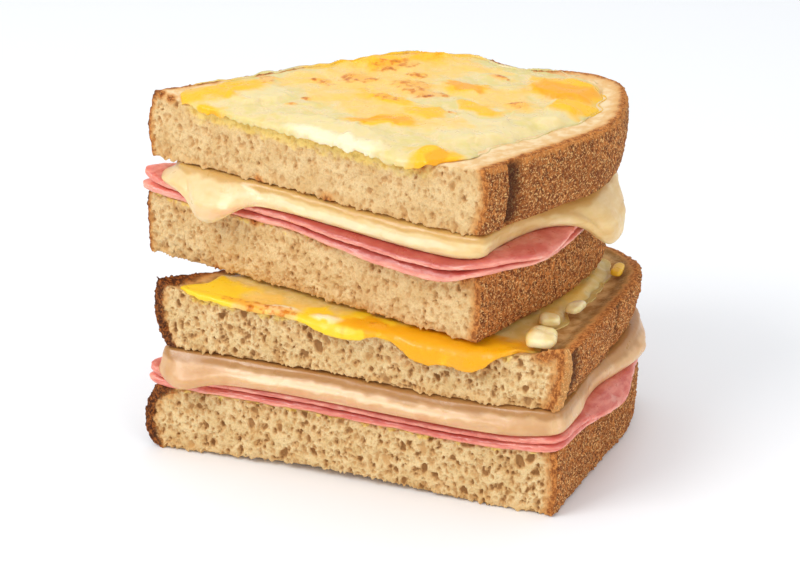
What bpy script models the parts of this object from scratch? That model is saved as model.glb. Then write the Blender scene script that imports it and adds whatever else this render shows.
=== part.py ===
"""A ham and cheese toastie cut in two, one half laid on the other.

Each half is two thick slices of farmhouse bread with two slices of ham and a layer of melted cheese
between them, and more cheese melted over the top slice. A half is modelled in a frame of its own:
the left end of its cut is the origin, x runs along the cut, y runs back into the bread and z is up.
The upper half is laid a little askew on the lower one. Sizes are written in millimetres.
"""

import math

import bmesh
import bpy
import numpy as np
from mathutils import Euler, Vector, noise
from mathutils.geometry import intersect_point_line

MM = 0.001

# The gap that pieces which touch keep between them
GAP = 0.3

# How many columns run down each piece, along its cut and round its crust
CUT_COLUMNS = 21
CRUST_COLUMNS = 29
CRUST_CROWDING = 1.25

# Outlines seen from above, from the left end of the cut: x, y and the radius of each corner
LOWER_BASE_PLAN = [(0, 0, 0), (118, 0, 0), (126, 57, 30), (120, 77, 9), (48, 77, 23)]
LOWER_TOP_PLAN = [(3.5, 0, 0), (118.5, 0, 0), (125.5, 57, 30), (118, 76, 9), (48, 77, 23)]
UPPER_BASE_PLAN = [(0, 0, 0), (104.6, 0, 0), (112, 40, 30), (110.5, 72, 10), (50, 75, 25)]
UPPER_TOP_PLAN = [(1.5, 0, 0), (104.6, 0, 0), (120, 47, 30), (108, 79.5, 11), (88, 77.5, 4),
                  (82.5, 70.5, 3), (50, 75, 25)]

# Heights of the slices' faces along the cut: x and z
LOWER_BASE_TOP = [(0, 20.2), (7, 19.6), (46, 19.8), (89, 18.3), (103, 18.4), (118, 19.4)]
LOWER_TOP_UNDERSIDE = [(0, 32.1), (60, 31.8), (75, 30.5), (89, 30.0), (102, 30.3), (118, 31.7)]
LOWER_TOP_TOP = [(0, 51.2), (8, 50.4), (14, 49.4), (31, 48.3), (50, 47.4), (86, 46.8), (100, 46.7),
                 (112, 47.0), (118, 48.4)]
UPPER_BASE_TOP = [(0, 17.7), (50, 18.6), (85, 17.8), (104, 18.6)]
UPPER_TOP_UNDERSIDE = [(0, 28.9), (16, 29.4), (50, 29.6), (70, 29.0), (93, 29.3), (105, 30.6)]
UPPER_TOP_TOP = [(0, 47.4), (40, 46.9), (85, 47.2), (105, 48.3)]

# How far in from the outline the rings of every piece's faces lie
INNER_RING = 6.0
OUTER_RING = 1.6

# How wide the risen crust is where the cut meets it, and how high it stands on the open slices
CRUST_WIDTH = 6.0
CRUST_RISE = 1.6
PRESSED_CRUST_RISE = 0.8
FREE_CRUST_RISE = 2.8

# How uneven the torn crumb of the cut and the crust are, and how far their rims are rounded off
RAGGED_CRUMB = 0.45
RAGGED_CRUST = 0.35
RAGGED_FOOT = 0.6
CRUMB_ROUNDING = 0.3
CRUST_ROUNDING = 0.8

# About how thick a slice of bread is
SLICE_HEIGHT = 20.0

# The lower half's base is arched up a little along its cut, over this length of it
ARCH_HEIGHT = 2.4
ARCH_LENGTH = 100.0

# How the upper half lies on the lower one
UPPER_PLACE = (-6.74, 18.2, 51.5)
UPPER_TURN = math.radians(-10.28)
UPPER_TILT = math.radians(2.19)

# How thick a slice of ham and the cheese melted on top are
HAM = 2.1
MELT = 1.4

# How square the scraps of cheese are, from 1 for round, and how far their balls are sunk
SQUARING = 0.6
SUNK = 0.3

# How a layer settles past the edge of what it lies on: how far past it and to what height
SHELF_MARGIN = 0.7
SETTLED_HEIGHT = 0.5

# More room under a slice of bread, the least spacing of a layer's rings and how far its edge bulges
CEILING_SLACK = 0.1
RING_SPACING = 0.4
TIP_PUSH = 0.4

# Colours as linear red, green and blue, with roughness
CRUST_BREAD = ((0.52, 0.33, 0.16), 0.85)
BOILED_HAM = ((0.74, 0.27, 0.24), 0.4)
MELTED_CHEESE = ((0.86, 0.72, 0.38), 0.35)
TOASTED_CHEESE = ((0.85, 0.58, 0.15), 0.4)


def clear_scene():
    for item in list(bpy.data.objects):
        bpy.data.objects.remove(item, do_unlink=True)


def smooth(t):
    """Zero below 0, one above 1 and a soft step between."""
    t = min(max(t, 0.0), 1.0)
    return t * t * (3 - 2 * t)


def read_off(stations, place):
    """The value at a place, from stations of (place, value) in order."""
    return float(np.interp(place, [s[0] for s in stations], [s[1] for s in stations]))


def rounded_chain(corners, arc_steps=12):
    """A closed outline with its corners turned by arcs, as a chain of close points."""
    chain = []
    for index, (x, y, radius) in enumerate(corners):
        corner = Vector((x, y))
        if radius == 0:
            chain.append(corner)
            continue
        back = (Vector(corners[index - 1][:2]) - corner).normalized()
        onward = (Vector(corners[(index + 1) % len(corners)][:2]) - corner).normalized()
        half_angle = back.angle(onward) / 2
        centre = corner + (back + onward).normalized() * radius / math.sin(half_angle)
        first = (corner + back * radius / math.tan(half_angle) - centre).normalized()
        last = (corner + onward * radius / math.tan(half_angle) - centre).normalized()
        for step in range(arc_steps + 1):
            chain.append(centre + first.slerp(last, step / arc_steps) * radius)
    return chain


class Outline:
    """The columns of a slice: points round its plan, from the left end of the cut."""

    def __init__(self, corners):
        left = Vector(corners[0][:2])
        right = Vector(corners[1][:2])
        chain = rounded_chain(corners)[1:] + [left]
        lengths = [0.0]
        for before, after in zip(chain, chain[1:]):
            lengths.append(lengths[-1] + (after - before).length)
        self.points = []
        self.outward = []
        self.wall_way = []
        self.stations = []
        for column in range(CUT_COLUMNS):
            share = column / (CUT_COLUMNS - 1)
            self.points.append(left.lerp(right, share))
            self.outward.append(Vector((0, -1)))
            self.wall_way.append(Vector((0, -1)))
            self.stations.append(share)
        for column in range(1, CRUST_COLUMNS + 1):
            share = (column / (CRUST_COLUMNS + 1)) ** CRUST_CROWDING
            here = self.along(chain, lengths, share * lengths[-1])
            ahead = self.along(chain, lengths, share * lengths[-1] + 2)
            behind = self.along(chain, lengths, share * lengths[-1] - 2)
            way = (ahead - behind).normalized()
            self.points.append(here)
            self.outward.append(Vector((way.y, -way.x)))
            self.wall_way.append(Vector((way.y, -way.x)))
            self.stations.append(1 + share)
        for column, side in ((0, -1), (CUT_COLUMNS - 1, 1)):
            beside = self.outward[column + side]
            self.outward[column] = (Vector((0, -1)) + beside).normalized()
            self.wall_way[column] = Vector((side, 0))
        self.crust = chain
        self.centre = sum(self.points, Vector((0, 0))) / len(self.points)
        self.count = len(self.points)

    @staticmethod
    def along(chain, lengths, distance):
        distance = min(max(distance, 0.0), lengths[-1])
        x = np.interp(distance, lengths, [p.x for p in chain])
        y = np.interp(distance, lengths, [p.y for p in chain])
        return Vector((float(x), float(y)))

    def inset(self, column, distance):
        """A point that far in from the outline, toward the centre."""
        spoke = self.points[column] - self.centre
        return self.points[column] - spoke.normalized() * max(distance, 0)

    def to_crust(self, point):
        """How far a point is from the crust."""
        nearest = []
        for start, end in zip(self.crust, self.crust[1:]):
            foot, share = intersect_point_line(point, start, end)
            foot = start.lerp(end, min(max(share, 0), 1))
            nearest.append((point - foot).length)
        return min(nearest)

    def on_cut(self, column):
        return column < CUT_COLUMNS


class Face:
    """A face of a slice: flat as far out as its inner ring, and lifted along its edge."""

    def __init__(self, outline, flat, edge):
        self.outline = outline
        self.flat = flat
        self.lifts = [edge(column) for column in range(outline.count)]

    def over(self, place, column, inset):
        """Its height over a place that lies that far in along a column."""
        return self.flat(place) + self.lifts[column] * edge_share(inset)

    def height(self, column, inset):
        return self.over(self.outline.inset(column, inset), column, inset)


def edge_share(inset):
    """How much of its edge's lift a face has, that far in from its outline."""
    return float(np.interp(inset, [0, OUTER_RING, INNER_RING], [1, 0.8, 0]))


def level(stations, point):
    """The flat face between the ends of the heights read off along the cut."""
    (first_x, first_z), (last_x, last_z) = stations[0], stations[-1]
    return first_z + (last_z - first_z) * (point.x - first_x) / (last_x - first_x)


def cut_face(outline, stations, rise):
    """A face with the heights read off along its cut, and a crust that stands higher."""

    def flat(point):
        return level(stations, point)

    def edge(column):
        point = outline.points[column]
        lift = read_off(stations, point.x) - level(stations, point) if outline.on_cut(column) else 0
        return lift + rise * max(1 - outline.to_crust(point) / CRUST_WIDTH, 0)

    return Face(outline, flat, edge)


def upper_floor(point):
    """Height of the upper half's underside over a point of the lower half's plan."""
    across = point - Vector(UPPER_PLACE[:2])
    along = across.x * math.cos(UPPER_TURN) + across.y * math.sin(UPPER_TURN)
    return UPPER_PLACE[2] - math.tan(UPPER_TILT) * along


def under_upper(point):
    """One where the upper half lies over a point or within 5 mm of it, and zero 7 mm outside it."""
    across = point - Vector(UPPER_PLACE[:2])
    turned = Vector((
        across.x * math.cos(UPPER_TURN) + across.y * math.sin(UPPER_TURN),
        across.y * math.cos(UPPER_TURN) - across.x * math.sin(UPPER_TURN),
    ))
    depth = 1000.0
    for index, corner in enumerate(UPPER_BASE_PLAN):
        start = Vector(UPPER_BASE_PLAN[index - 1][:2])
        way = (Vector(corner[:2]) - start).normalized()
        reach = turned - start
        depth = min(depth, way.x * reach.y - way.y * reach.x)
    return smooth((depth + 7) / 2)


def wrap(name, top, rows, bottom, look, parent):
    """A closed skin: a ball whose rings are drawn out to rows of points, from the top pole down.

    Each of its faces is split from the inner ring on its left column to the outer ring on its right
    one, so the underside of a piece is cut up like the top of the piece below it.
    """
    columns = len(rows[0])
    rings = len(rows) + 1
    bpy.ops.mesh.primitive_uv_sphere_add(segments=columns, ring_count=rings, radius=1)
    piece = bpy.context.object
    piece.name = name
    piece.data.name = name
    ball = bmesh.new()
    ball.from_mesh(piece.data)
    ring_of = {}
    column_of = {}
    for vertex in ball.verts:
        x, y, z = vertex.co
        ring_of[vertex] = round(math.acos(min(max(z, -1), 1)) / math.pi * rings)
        column_of[vertex] = math.floor(math.atan2(y, x) / math.tau * columns + 0.01) % columns
    for face in [face for face in ball.faces if len(face.verts) == 4]:
        upward = sum(ring_of[v] for v in face.verts) < 2 * rings
        left, right = sorted({column_of[v] for v in face.verts})
        if (left, right) == (0, columns - 1):
            left, right = right, left
        inner, outer = sorted({ring_of[v] for v in face.verts}, reverse=not upward)
        start = [v for v in face.verts if (ring_of[v], column_of[v]) == (inner, left)][0]
        end = [v for v in face.verts if (ring_of[v], column_of[v]) == (outer, right)][0]
        bmesh.utils.face_split(face, start, end)
    for vertex in ball.verts:
        ring = ring_of[vertex]
        if ring == 0:
            place = top
        elif ring == rings:
            place = bottom
        else:
            place = rows[ring - 1][column_of[vertex]]
        vertex.co = Vector(place) * MM
    ball.to_mesh(piece.data)
    ball.free()
    piece.data.shade_smooth()
    piece.data.materials.append(look)
    piece.parent = parent
    for holder in piece.users_collection:
        holder.objects.unlink(piece)
    PIECES.objects.link(piece)
    return piece


def material(name, look):
    colour, roughness = look
    made = bpy.data.materials.new(name)
    made.use_nodes = True
    shader = made.node_tree.nodes["Principled BSDF"]
    shader.inputs["Base Color"].default_value = (*colour, 1)
    shader.inputs["Roughness"].default_value = roughness
    shader.inputs["Metallic"].default_value = 0
    return made


def crags(point, height, seed):
    """Unevenness of the torn crumb, between about -1 and 1."""
    return noise.noise(Vector((point.x * 0.23, height * 0.23, seed * 7.3)))


def bread_slice(name, underside, top, left_wall, right_wall, seed, parent):
    """A slice of bread. A wall is how far the crust stands out at its foot, middle and top."""
    outline = top.outline

    def wall(column, share):
        station = outline.stations[column]
        point = outline.points[column]
        if 0 < column < CUT_COLUMNS - 1:
            return RAGGED_CRUMB * crags(point, share * SLICE_HEIGHT, seed)
        leftness = smooth((station - 1.5) / 0.35) if station > 0 else 1.0
        foot, middle, head = [right + (left - right) * leftness
                              for left, right in zip(left_wall, right_wall)]
        bow = foot * (1 - share) * (1 - 2 * share) + middle * 4 * share * (1 - share)
        return bow + head * share * (2 * share - 1) + RAGGED_CRUST * crags(point, share * SLICE_HEIGHT, -seed)

    def face_ring(face, inset):
        row = []
        for column in range(outline.count):
            place = outline.inset(column, inset)
            row.append((place.x, place.y, face.height(column, inset)))
        return row

    def wall_ring(share):
        row = []
        for column in range(outline.count):
            on_cut = outline.on_cut(column)
            low = underside.height(column, 0)
            high = top.height(column, 0)
            height = low + (high - low) * share
            if share == 1:
                height -= CRUMB_ROUNDING if on_cut else CRUST_ROUNDING
            if share == 0:
                torn = RAGGED_FOOT * (1 + crags(outline.points[column], 2 * SLICE_HEIGHT, seed))
                height += torn if on_cut else CRUST_ROUNDING
            place = outline.points[column] + outline.wall_way[column] * wall(column, share)
            row.append((place.x, place.y, height))
        return row

    rows = [face_ring(top, INNER_RING), face_ring(top, OUTER_RING)]
    rows.extend(wall_ring(share) for share in (1, 0.75, 0.5, 0.25, 0))
    rows.extend([face_ring(underside, OUTER_RING), face_ring(underside, INNER_RING)])
    middle = outline.centre
    return wrap(name, (middle.x, middle.y, top.flat(middle)), rows,
                (middle.x, middle.y, underside.flat(middle)), material(name, CRUST_BREAD), parent)


def bent(drape, station, travel):
    """Where a path over the rim has got to: how far out, how far down and its slope."""
    straight = read_off([(s[0], s[1]) for s in drape], station)
    radius = read_off([(s[0], s[2]) for s in drape], station)
    droop = math.radians(read_off([(s[0], s[3]) for s in drape], station))
    if travel <= straight:
        return travel, 0.0, 0.0
    arc = radius * droop
    if travel < straight + arc:
        slope = (travel - straight) / radius
        return straight + radius * math.sin(slope), radius * (1 - math.cos(slope)), slope
    rest = travel - straight - arc
    out = straight + radius * math.sin(droop) + rest * math.cos(droop)
    down = radius * (1 - math.cos(droop)) + rest * math.sin(droop)
    return out, down, droop


def layer(name, support, below, thick, reach, drape, look, parent,
          ceiling=None, tip=2.0, steps=2, shelf=None, lift=None):
    """A slice of ham or a spread of cheese that lies on a face and hangs over its rim.

    below is how high over the face it starts, and shelf is how far what is below it reaches.
    It is as thick as thick says, or fills the space up to the ceiling where there is one.
    reach is how far its own edge goes past the rim, as stations round the outline. lift has stations
    of where the edge starts to turn up and how much. All the layers of a half follow one drape.
    """
    outline = support.outline
    rings = [-INNER_RING, -OUTER_RING, 0.0]
    last = len(rings) + steps - 1

    def resting(station, travel):
        """How high over the face: it settles past the edge of what it lies on."""
        if shelf is None:
            return below
        under = max(read_off(shelf, station + aside) for aside in (-0.05, 0, 0.05)) + SHELF_MARGIN
        settled = smooth((travel - under) / (0.6 * below + 1))
        return below * (1 - settled) + min(below, SETTLED_HEIGHT) * settled

    def depth_over(floor, top):
        return thick if ceiling is None else top - floor - below - 2 * GAP - CEILING_SLACK

    def turned_up(station, travel):
        if lift is None:
            return 0.0
        start = read_off([(s[0], s[1]) for s in lift], station)
        amount = read_off([(s[0], s[2]) for s in lift], station)
        return amount * smooth((travel - start) / (read_off(reach, station) + 0.001 - start))

    def place_at(column, index, side):
        station = outline.stations[column]
        edge = read_off(reach, station)
        if index < len(rings):
            travel = rings[index]
        else:
            travel = edge * (index - len(rings) + 1) / steps
        if edge <= 0:
            travel = min(travel, edge - RING_SPACING * (last - index))
        out, down, slope = bent(drape, station, travel) if travel > 0 else (0.0, 0.0, 0.0)
        place = outline.inset(column, -travel)
        floor = support.height(column, -travel)
        deep = depth_over(floor, ceiling.over(place, column, -travel) if ceiling else 0)
        if travel > 0:
            deep += (min(tip, deep) - deep) * smooth(travel / edge)
        low = resting(station, travel) + turned_up(station, travel)
        high = {"top": low + deep, "tip": low + deep / 2, "underside": low}[side]
        push = TIP_PUSH * min(deep, HAM) if side == "tip" else 0.0
        place = place + outline.outward[column] * (out + high * math.sin(slope) + push * math.cos(slope))
        height = floor + GAP - down + high * math.cos(slope) - push * math.sin(slope)
        return place.x, place.y, height

    def ring(index, side):
        return [place_at(column, index, side) for column in range(outline.count)]

    rows = [ring(index, "top") for index in range(last + 1)]
    rows.append(ring(last, "tip"))
    rows.extend(ring(index, "underside") for index in reversed(range(last + 1)))
    middle = outline.centre
    low = support.flat(middle) + GAP + below
    high = low + depth_over(support.flat(middle), ceiling.flat(middle) if ceiling else 0)
    return wrap(name, (middle.x, middle.y, high), rows, (middle.x, middle.y, low),
                material(name, look), parent)


def lump(name, place, size, turn, parent):
    """A scrap of cheese that lies apart: a ball squared off and pressed nearly flat."""
    bpy.ops.mesh.primitive_uv_sphere_add(segments=12, ring_count=7, radius=0.5)
    piece = bpy.context.object
    piece.name = name
    piece.data.name = name
    for vertex in piece.data.vertices:
        x, y, z = (math.copysign(abs(2 * c) ** SQUARING / 2, c) for c in vertex.co)
        widen = 1 + 0.25 * noise.noise(Vector((x * 2, y * 2, place[0])))
        vertex.co = Vector((x * size[0] * widen, y * size[1] * widen, max(z, -SUNK) * size[2])) * MM
    piece.data.shade_smooth()
    piece.data.materials.append(material(name, MELTED_CHEESE))
    piece.parent = parent
    piece.location = Vector(place) * MM
    piece.rotation_euler = Euler((0, 0, turn))
    for holder in piece.users_collection:
        holder.objects.unlink(piece)
    PIECES.objects.link(piece)
    return piece


def empty(name, parent=None):
    made = bpy.data.objects.new(name, None)
    made.parent = parent
    PIECES.objects.link(made)
    return made


def lower_half(parent):
    base = Outline(LOWER_BASE_PLAN)
    cover = Outline(LOWER_TOP_PLAN)

    def arch(column):
        share = base.points[column].x / ARCH_LENGTH
        return ARCH_HEIGHT * math.sin(math.pi * min(share, 1)) ** 2 if base.on_cut(column) else 0

    def pressed(point):
        return upper_floor(point) - MELT - 2 * GAP

    def left_free(column):
        point = cover.points[column]
        lift = read_off(LOWER_TOP_TOP, point.x) - pressed(point) if cover.on_cut(column) else 0
        lift += FREE_CRUST_RISE * max(1 - cover.to_crust(point) / CRUST_WIDTH, 0)
        return lift * (1 - under_upper(point))

    base_top = cut_face(base, LOWER_BASE_TOP, PRESSED_CRUST_RISE)
    cover_underside = cut_face(cover, LOWER_TOP_UNDERSIDE, 0)
    cover_top = Face(cover, pressed, left_free)
    bread_slice("lower_base_bread", Face(base, flat_floor, arch), base_top,
                (0, 1.8, -2.6), (0, 0.8, 0.2), 1, parent)
    bread_slice("lower_top_bread", cover_underside, cover_top,
                (-2.6, 0.6, -1.0), (-1.5, 0.8, 1.0), 2, parent)

    drape = [(0, 1.5, 1.5, 15), (0.05, 1.3, 1.2, 72), (0.95, 1.3, 1.2, 72), (1, 1.2, 1.5, 40),
             (1.1, 1.2, 2, 60), (1.3, 1.2, 2, 70), (1.5, 2, 3, 45), (1.95, 1.5, 1.5, 20), (2, 1.5, 1.5, 15)]
    ham_base_reach = [(0, 0.3), (0.05, 0.8), (0.1, 0.6), (0.5, 1.0), (0.95, 1.2), (1.05, 1.2), (1.09, 2.6),
                      (1.14, 3.3), (1.18, 2.2), (1.22, 0.8), (1.35, -1), (1.6, -1), (1.9, 0), (2, 0.3)]
    ham_top_reach = [(0, 0.3), (0.05, 0.8), (0.1, 0.7), (0.5, 1.0), (0.95, 1.2), (1.05, 1.3), (1.09, 2.8),
                     (1.14, 3.5), (1.18, 2.3), (1.22, 0.9), (1.35, -1), (1.6, -1), (1.9, 0), (2, 0.3)]
    cheese_reach = [(0, -5), (0.05, 0.8), (0.1, 2.4), (0.15, 2.0), (0.2, 1.5), (0.9, 1.5),
                    (1, 1.0), (1.03, 1.2), (1.06, 0.6), (1.09, -1.2), (1.13, -1.2), (1.16, 0.8), (1.2, 1.7),
                    (1.24, 1.7), (1.28, 0.8), (1.4, 0), (1.7, -1), (1.95, -4), (2, -5)]
    ham_lift = [(0, -3, 1.0), (0.05, -3, 0), (1.94, -3, 0), (2, -3, 1.0)]
    layer("lower_ham_base", base_top, 0, HAM, ham_base_reach, drape, BOILED_HAM, parent, tip=1.7)
    layer("lower_ham_top", base_top, HAM + GAP, HAM, ham_top_reach, drape, BOILED_HAM, parent,
          tip=1.7, shelf=ham_base_reach, lift=ham_lift)
    layer("lower_cheese", base_top, 2 * (HAM + GAP), None, cheese_reach, drape, MELTED_CHEESE, parent,
          ceiling=cover_underside, tip=3.2, steps=3, shelf=ham_top_reach)

    melt_drape = [(0, 0.9, 1.2, 75), (1, 0.9, 1.2, 75), (1.1, 2, 3, 30), (2, 0.9, 1.2, 75)]
    melt_reach = [(0, -7), (0.05, -3), (0.1, 0.8), (0.2, 1.6), (0.38, 1.2), (0.44, 3.4), (0.49, 4.6),
                  (0.54, 2.2), (0.6, 1.2), (0.64, 5.0), (0.68, 6.8), (0.73, 4.2), (0.77, 4.6), (0.8, 7.0),
                  (0.85, 1.4), (0.9, -1), (0.95, -6.2), (1, -9), (1.15, -9), (1.3, -8), (1.6, -5), (2, -7)]
    layer("lower_melt", cover_top, 0, MELT, melt_reach, melt_drape, TOASTED_CHEESE, parent,
          tip=1.8, steps=3)

    on_melt = MELT + GAP
    scraps = [((110.8, 8.3), (7.8, 11, 3.6), 0.15, on_melt), ((109.8, 19.5), (6, 5.5, 2.8), 0.4, on_melt),
              ((114, 29.5), (4.2, 7.5, 2.6), -0.2, on_melt), ((119, 57.5), (3.4, 8, 2.2), -0.1, 1.6)]
    for index, ((x, y), size, turn, rest) in enumerate(scraps):
        height = pressed(Vector((x, y))) + SUNK * size[2] + rest + GAP
        lump(f"lower_cheese_scrap_{index + 1}", (x, y, height), size, turn, parent)


def flat_floor(point):
    return 0.0


def no_lift(column):
    return 0.0


def upper_half(parent):
    base = Outline(UPPER_BASE_PLAN)
    cover = Outline(UPPER_TOP_PLAN)
    base_top = cut_face(base, UPPER_BASE_TOP, CRUST_RISE)
    cover_underside = cut_face(cover, UPPER_TOP_UNDERSIDE, 0)
    cover_top = cut_face(cover, UPPER_TOP_TOP, CRUST_RISE)
    bread_slice("upper_base_bread", Face(base, flat_floor, no_lift), base_top,
                (0, 0.3, 0), (0, 0.8, 0), 3, parent)
    bread_slice("upper_top_bread", cover_underside, cover_top,
                (0, 0.6, -1.2), (-0.6, 0.8, 0), 4, parent)

    drape = [(0, 5, 1.5, 0), (0.05, 1.3, 1.2, 60), (0.12, 1.3, 1.2, 78), (0.5, 1.3, 1.2, 70),
             (0.93, 1.3, 1.2, 60), (1, 2, 2, 30), (1.05, 4, 3, 30), (1.12, 5.5, 3, 50), (1.2, 4.5, 2.6, 78),
             (1.27, 4, 3, 70), (1.35, 2.5, 3, 50), (1.6, 2, 3, 40), (2, 5, 1.5, 0)]
    ham_base_reach = [(0, 2.8), (0.05, 1.2), (0.1, 0.4), (0.4, 0.9), (0.6, 2.4), (0.75, 3.2), (0.9, 3.6),
                      (0.95, 2.6), (0.96, 1.0), (1, 1.2), (1.03, 3.6), (1.07, 6.2), (1.12, 6.2), (1.16, 3.8),
                      (1.2, 2.8), (1.27, 1.5), (1.35, 0), (1.6, -1), (1.9, 0), (1.97, 1.6), (2, 2.8)]
    ham_top_reach = [(0, 2.6), (0.05, 1.2), (0.1, 0.4), (0.3, 0.8), (0.6, 1.8), (0.9, 2.0), (1, 1.8),
                     (1.03, 3.8), (1.07, 6.4), (1.12, 6.4), (1.16, 3.9), (1.2, 2.9), (1.27, 1.6),
                     (1.35, 0), (1.6, -1), (1.9, 0), (1.97, 1.4), (2, 2.6)]
    cheese_reach = [(0, -9), (0.05, -5), (0.1, 0.2), (0.15, 1.8), (0.2, 3.9), (0.25, 3.9), (0.3, 2.4),
                    (0.35, 1.3), (0.9, 1.2), (1, 0.6), (1.03, -1.5), (1.1, -1.5), (1.13, 2), (1.16, 5.6),
                    (1.19, 10.5), (1.23, 10), (1.26, 5), (1.3, 1.2), (1.45, 0), (1.6, -2), (1.95, -6),
                    (2, -9)]
    ham_lift = [(0, -7, 2.4), (0.05, -3, 0.6), (0.09, 0, 0), (1.93, 0, 0), (1.97, -3, 0.8), (2, -7, 2.4)]
    layer("upper_ham_base", base_top, 0, HAM, ham_base_reach, drape, BOILED_HAM, parent, tip=1.7)
    layer("upper_ham_top", base_top, HAM + GAP, HAM, ham_top_reach, drape, BOILED_HAM, parent,
          tip=1.7, shelf=ham_base_reach, lift=ham_lift)
    layer("upper_cheese", base_top, 2 * (HAM + GAP), None, cheese_reach, drape, MELTED_CHEESE, parent,
          ceiling=cover_underside, tip=2.8, steps=3, shelf=ham_top_reach)

    melt_drape = [(0, 0.9, 1.2, 78), (1, 0.9, 1.2, 78), (1.1, 2, 3, 30), (1.9, 2, 3, 30), (2, 0.9, 1.2, 78)]
    melt_reach = [(0, -9), (0.05, -5), (0.1, 0.4), (0.15, 1.1), (0.3, 1.5), (0.6, 1.6), (0.66, 1.0),
                  (0.74, 2.6), (0.8, 2.4), (0.86, 0.4), (0.92, -4), (1, -9), (1.1, -11), (1.2, -10),
                  (1.3, -8), (1.38, -6.2), (1.46, -2), (1.75, -2), (1.95, -3), (2, -9)]
    layer("upper_melt", cover_top, 0, MELT, melt_reach, melt_drape, TOASTED_CHEESE, parent,
          tip=1.3, steps=3)


def stand_on_origin(root):
    """Moves the toastie so that the middle of its box's underside is the origin."""
    bpy.context.view_layer.update()
    corners = []
    for piece in PIECES.objects:
        if piece.type == "MESH":
            corners.extend(piece.matrix_world @ v.co for v in piece.data.vertices)
    low = Vector([min(c[axis] for c in corners) for axis in range(3)])
    high = Vector([max(c[axis] for c in corners) for axis in range(3)])
    middle = (low + high) / 2
    root.location = Vector((-middle.x, -middle.y, -low.z))


clear_scene()
PIECES = bpy.data.collections.new("ham_and_cheese_toastie")
bpy.context.scene.collection.children.link(PIECES)
toastie = empty("toastie")
lower = empty("lower_half", toastie)
lower_half(lower)
upper = empty("upper_half", toastie)
upper.location = Vector(UPPER_PLACE) * MM
upper.rotation_euler = Euler((0, UPPER_TILT, UPPER_TURN))
upper_half(upper)
stand_on_origin(toastie)
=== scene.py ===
import math
import random

import bmesh
import bpy
import numpy as np
from mathutils import Euler, Matrix, Vector, noise
from mathutils.kdtree import KDTree


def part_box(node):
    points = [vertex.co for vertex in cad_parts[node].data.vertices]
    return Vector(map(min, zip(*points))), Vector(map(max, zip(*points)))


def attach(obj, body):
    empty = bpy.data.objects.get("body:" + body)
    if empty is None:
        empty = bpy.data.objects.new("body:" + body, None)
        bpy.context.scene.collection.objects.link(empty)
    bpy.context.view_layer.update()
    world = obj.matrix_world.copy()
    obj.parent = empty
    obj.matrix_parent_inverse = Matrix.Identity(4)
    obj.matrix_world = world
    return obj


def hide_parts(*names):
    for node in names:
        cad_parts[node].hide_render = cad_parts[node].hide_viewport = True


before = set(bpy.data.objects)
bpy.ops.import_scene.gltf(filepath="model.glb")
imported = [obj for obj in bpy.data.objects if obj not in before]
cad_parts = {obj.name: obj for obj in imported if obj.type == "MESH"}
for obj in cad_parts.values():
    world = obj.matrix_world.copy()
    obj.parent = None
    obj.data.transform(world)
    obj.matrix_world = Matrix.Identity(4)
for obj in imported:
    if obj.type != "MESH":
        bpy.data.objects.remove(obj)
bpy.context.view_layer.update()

# The two halves of the toastie. Each has a frame of its own, in which sizes are written in
# millimetres: the left end of its cut is the origin, x runs along the cut, y back into the bread.
# The upper half lies askew on the lower one.
MM = 0.001
LEFT_BULGE = 1.83
FRONT_BULGE = 0.28
UPPER_PLACE = (-6.74, 18.2, 51.5)
UPPER_TURN = math.radians(-10.28)
UPPER_TILT = math.radians(2.19)

lower_low = Vector(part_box("lower_base_bread")[0])
LOWER = Matrix.Translation(lower_low + Vector((LEFT_BULGE, FRONT_BULGE, 0)) * MM)
UPPER = LOWER @ Matrix.Translation(Vector(UPPER_PLACE) * MM)
UPPER = UPPER @ Euler((0, UPPER_TILT, UPPER_TURN)).to_matrix().to_4x4()

# The camera stands a good half metre off, a little to the right of the cut and looking down on it,
# with a long lens.
CAMERA_TARGET = (65.7, 25.6, 50)
CAMERA_AZIMUTH = math.radians(19.31)
CAMERA_ELEVATION = math.radians(25)
CAMERA_DISTANCE = 572.7
CAMERA_LENS = 94.5

bpy.ops.object.select_all(action="DESELECT")
bpy.ops.object.camera_add()
camera = bpy.context.object
camera.name = "camera"
back = Vector((
    math.sin(CAMERA_AZIMUTH) * math.cos(CAMERA_ELEVATION),
    -math.cos(CAMERA_AZIMUTH) * math.cos(CAMERA_ELEVATION),
    math.sin(CAMERA_ELEVATION),
))
camera.location = LOWER @ (Vector(CAMERA_TARGET) * MM) + back * CAMERA_DISTANCE * MM
camera.rotation_euler = back.to_track_quat("Z", "Y").to_euler()
camera.data.lens = CAMERA_LENS
camera.data.sensor_width = 36
bpy.context.scene.camera = camera

# The four slices of bread: thick-cut farmhouse bread, browned in the toaster. Each was sawn through,
# so one side is open crumb, full of pores, and the rest of its rim is crust with a fine grain.
# The finish follows how far a point is from the crust, how deep in a pore it is and which way it faces, and
# paints shade into the pores, the creases and the crust.
SLICE_VOXEL = 0.8
SLICE_TRIANGLES = 196000
SUBDIVISIONS = 2
SHARP_EDGE = math.radians(40)

# How much a face's normal may rise or fall where it still counts as upright, or as steep, and how
# much it looks to the front where the face belongs to the cut
UPRIGHT = 0.75
STEEP = 0.6
FRONTWARD = 0.75

# How far the open crumb swells, which makes up for its pores, and how deep a pore is where its
# painted shade is darkest, in millimetres
CRUMB_SWELL = 0.45
DARK_PORE = 1.1

# Where along the cut the creased crust begins, and where a slice's toasted faces begin to scorch and
# are scorched fully
CREASED_SIDE = 80
SCORCHED_FROM = 50
SCORCHED_FULLY = 80

# At how many places along a cut its upper edge is measured
EDGE_PLACES = 30

# Vector noise starts from the clock unless it is given a seed, and the pores have to be the same in
# every run
NOISE_SEED = 1
noise.seed_set(NOISE_SEED)


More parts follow.
